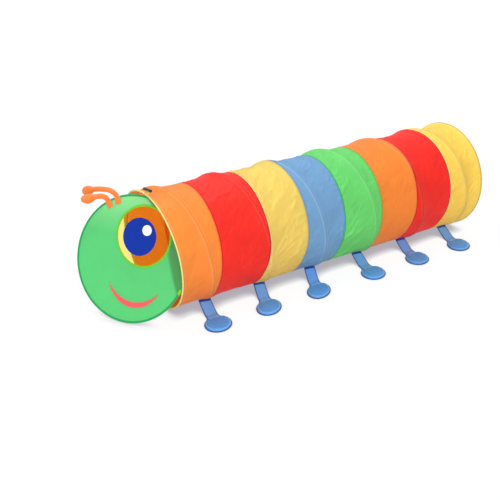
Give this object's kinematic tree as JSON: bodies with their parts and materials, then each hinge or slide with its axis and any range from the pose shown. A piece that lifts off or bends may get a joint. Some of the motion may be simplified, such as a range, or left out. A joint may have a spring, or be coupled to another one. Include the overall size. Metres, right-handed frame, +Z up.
{
  "type": "kids play tunnel",
  "caption": "Pop-up crawl tunnel for children: a striped fabric tube on a spring wire, shaped as a smiling grub with a hinged head flap, stuffed antennae and stuffed legs.",
  "frame": {"origin": "on the floor, under the middle of the whole object", "axes": "+X along the tunnel from the head to the tail, +Z up; the legs spread along Y"},
  "size_m": [1.779, 0.6368, 0.5064],
  "materials": {
    "orange_polyester": "thin woven polyester, softly creased",
    "red_polyester": "thin woven polyester, softly creased",
    "yellow_polyester": "thin woven polyester, softly creased",
    "blue_polyester": "thin woven polyester, softly creased",
    "green_polyester": "thin woven polyester, softly creased",
    "spring_steel": "bare spring-steel wire, smooth drawn",
    "casing_tape": "narrow woven tape, stitched along both edges",
    "mouth_tape": "folded binding tape, pale yellow",
    "tail_tape": "folded binding tape, yellow",
    "ferrule_steel": "crimped steel sleeve",
    "head_polyester": "thin woven polyester, slightly see-through",
    "hoop_tape": "folded binding tape, darker green",
    "lime_tape": "grosgrain tape, lime",
    "amber_film": "clear amber vinyl film",
    "blue_vinyl": "printed vinyl",
    "white_vinyl": "printed vinyl",
    "smile_cloth": "stitched cloth patch",
    "antenna_plush": "brushed polyester over stuffing",
    "toggle_plastic": "moulded, satin",
    "tab_webbing": "woven webbing",
    "leg_plush": "brushed polyester, lightly stuffed"
  },
  "bodies": {
    "root": {"mouth_binding": "mouth_tape", "panel_1_orange": "orange_polyester", "spring_coil": "spring_steel", "coil_casing": "casing_tape", "wire_ferrule_mouth": "ferrule_steel"},
    "section_2": {"panel_2_red": "red_polyester"},
    "section_3": {"panel_3_yellow": "yellow_polyester"},
    "section_4": {"panel_4_blue": "blue_polyester"},
    "section_5": {"panel_5_green": "green_polyester"},
    "section_6": {"panel_6_orange": "orange_polyester"},
    "section_7": {"panel_7_red": "red_polyester"},
    "section_8": {"panel_8_yellow": "yellow_polyester"},
    "tail_rim": {"tail_binding": "tail_tape", "wire_ferrule_tail": "ferrule_steel"},
    "head": {"head_hoop_wire": "spring_steel", "head_hoop_binding": "hoop_tape", "head_panel": "head_polyester", "window_binding": "lime_tape", "window_film": "amber_film", "eye_pupil": "blue_vinyl", "eye_highlight": "white_vinyl", "smile_patch": "smile_cloth", "head_hinge_tape": "lime_tape", "antenna_patch_left": "antenna_plush", "antenna_patch_right": "antenna_plush"},
    "antenna_left": {"antenna_left": "antenna_plush"},
    "antenna_right": {"antenna_right": "antenna_plush"},
    "toggle": {"toggle": "toggle_plastic", "toggle_tab": "tab_webbing"},
    "leg_left_1": {"leg_left_1": "leg_plush"},
    "leg_left_2": {"leg_left_2": "leg_plush"},
    "leg_left_3": {"leg_left_3": "leg_plush"},
    "leg_left_4": {"leg_left_4": "leg_plush"},
    "leg_left_5": {"leg_left_5": "leg_plush"},
    "leg_left_6": {"leg_left_6": "leg_plush"},
    "leg_right_1": {"leg_right_1": "leg_plush"},
    "leg_right_2": {"leg_right_2": "leg_plush"},
    "leg_right_3": {"leg_right_3": "leg_plush"},
    "leg_right_4": {"leg_right_4": "leg_plush"},
    "leg_right_5": {"leg_right_5": "leg_plush"},
    "leg_right_6": {"leg_right_6": "leg_plush"}
  },
  "joints": [
    {"name": "tail_slide", "type": "slide", "parent": "root", "child": "tail_rim", "axis": [-1, 0, 0], "range_m": [0, 1.4023], "stiffness_N_per_m": 25, "deforming": ["panel_1_orange", "panel_2_red", "panel_3_yellow", "panel_4_blue", "panel_5_green", "panel_6_orange", "panel_7_red", "panel_8_yellow", "spring_coil", "coil_casing", "leg_left_1", "leg_left_2", "leg_left_3", "leg_left_4", "leg_left_5", "leg_left_6", "leg_right_1", "leg_right_2", "leg_right_3", "leg_right_4", "leg_right_5", "leg_right_6"]},
    {"name": "section_2_slide", "type": "slide", "parent": "root", "child": "section_2", "axis": [-1, 0, 0], "range_m": [0, 0.1597]},
    {"name": "section_3_slide", "type": "slide", "parent": "root", "child": "section_3", "axis": [-1, 0, 0], "range_m": [0, 0.3545]},
    {"name": "section_4_slide", "type": "slide", "parent": "root", "child": "section_4", "axis": [-1, 0, 0], "range_m": [0, 0.5256]},
    {"name": "section_5_slide", "type": "slide", "parent": "root", "child": "section_5", "axis": [-1, 0, 0], "range_m": [0, 0.6939]},
    {"name": "section_6_slide", "type": "slide", "parent": "root", "child": "section_6", "axis": [-1, 0, 0], "range_m": [0, 0.8732]},
    {"name": "section_7_slide", "type": "slide", "parent": "root", "child": "section_7", "axis": [-1, 0, 0], "range_m": [0, 1.0479]},
    {"name": "section_8_slide", "type": "slide", "parent": "root", "child": "section_8", "axis": [-1, 0, 0], "range_m": [0, 1.2354]},
    {"name": "head_hinge", "type": "hinge", "parent": "root", "child": "head", "pos_m": [-0.64775, -0.21319, 0.14871], "axis": [0, 0, 1], "range_deg": [-5, 65]},
    {"name": "antenna_left_bend", "type": "hinge", "parent": "head", "child": "antenna_left", "pos_m": [-0.7456, 0.15988, 0.41036], "axis": [-0.6119, 0.5876, -0.5295], "range_deg": [-25, 25], "stiffness_Nm_per_rad": 0.3},
    {"name": "antenna_right_bend", "type": "hinge", "parent": "head", "child": "antenna_right", "pos_m": [-0.71956, 0.13254, 0.43001], "axis": [-0.6072, 0.6922, -0.3902], "range_deg": [-25, 25], "stiffness_Nm_per_rad": 0.3},
    {"name": "toggle_bend", "type": "hinge", "parent": "root", "child": "toggle", "pos_m": [-0.66682, -0.02377, 0.47669], "axis": [0, 1, 0], "range_deg": [-65, 65], "stiffness_Nm_per_rad": 0.02},
    {"name": "leg_left_1_lift", "type": "hinge", "parent": "root", "child": "leg_left_1", "pos_m": [-0.49351, -0.11862, 0.03036], "axis": [-1, 0, 0], "range_deg": [0, 60]},
    {"name": "leg_right_1_lift", "type": "hinge", "parent": "root", "child": "leg_right_1", "pos_m": [-0.49351, 0.11862, 0.03463], "axis": [1, 0, 0], "range_deg": [0, 60]},
    {"name": "leg_left_2_lift", "type": "hinge", "parent": "section_3", "child": "leg_left_2", "pos_m": [-0.23801, -0.11834, 0.03084], "axis": [-1, 0, 0], "range_deg": [0, 60]},
    {"name": "leg_right_2_lift", "type": "hinge", "parent": "section_3", "child": "leg_right_2", "pos_m": [-0.23801, 0.11777, 0.03609], "axis": [1, 0, 0], "range_deg": [0, 60]},
    {"name": "leg_left_3_lift", "type": "hinge", "parent": "section_4", "child": "leg_left_3", "pos_m": [0.01749, -0.11794, 0.03153], "axis": [-1, 0, 0], "range_deg": [0, 60]},
    {"name": "leg_right_3_lift", "type": "hinge", "parent": "section_4", "child": "leg_right_3", "pos_m": [0.01749, 0.11712, 0.03722], "axis": [1, 0, 0], "range_deg": [0, 60]},
    {"name": "leg_left_4_lift", "type": "hinge", "parent": "section_5", "child": "leg_left_4", "pos_m": [0.27299, -0.11745, 0.03237], "axis": [-1, 0, 0], "range_deg": [0, 60]},
    {"name": "leg_right_4_lift", "type": "hinge", "parent": "section_5", "child": "leg_right_4", "pos_m": [0.27299, 0.1165, 0.0383], "axis": [1, 0, 0], "range_deg": [0, 60]},
    {"name": "leg_left_5_lift", "type": "hinge", "parent": "section_7", "child": "leg_left_5", "pos_m": [0.52849, -0.11689, 0.03335], "axis": [-1, 0, 0], "range_deg": [0, 60]},
    {"name": "leg_right_5_lift", "type": "hinge", "parent": "section_7", "child": "leg_right_5", "pos_m": [0.52849, 0.11593, 0.03929], "axis": [1, 0, 0], "range_deg": [0, 60]},
    {"name": "leg_left_6_lift", "type": "hinge", "parent": "section_8", "child": "leg_left_6", "pos_m": [0.78399, -0.11628, 0.03442], "axis": [-1, 0, 0], "range_deg": [0, 60]},
    {"name": "leg_right_6_lift", "type": "hinge", "parent": "section_8", "child": "leg_right_6", "pos_m": [0.78399, 0.11524, 0.04048], "axis": [1, 0, 0], "range_deg": [0, 60]}
  ],
  "couplings": [
    {"joint": "section_2_slide", "follows": "tail_slide", "ratio": 0.11356},
    {"joint": "section_3_slide", "follows": "tail_slide", "ratio": 0.25243},
    {"joint": "section_4_slide", "follows": "tail_slide", "ratio": 0.37443},
    {"joint": "section_5_slide", "follows": "tail_slide", "ratio": 0.49448},
    {"joint": "section_6_slide", "follows": "tail_slide", "ratio": 0.62232},
    {"joint": "section_7_slide", "follows": "tail_slide", "ratio": 0.74692},
    {"joint": "section_8_slide", "follows": "tail_slide", "ratio": 0.8806}
  ]
}
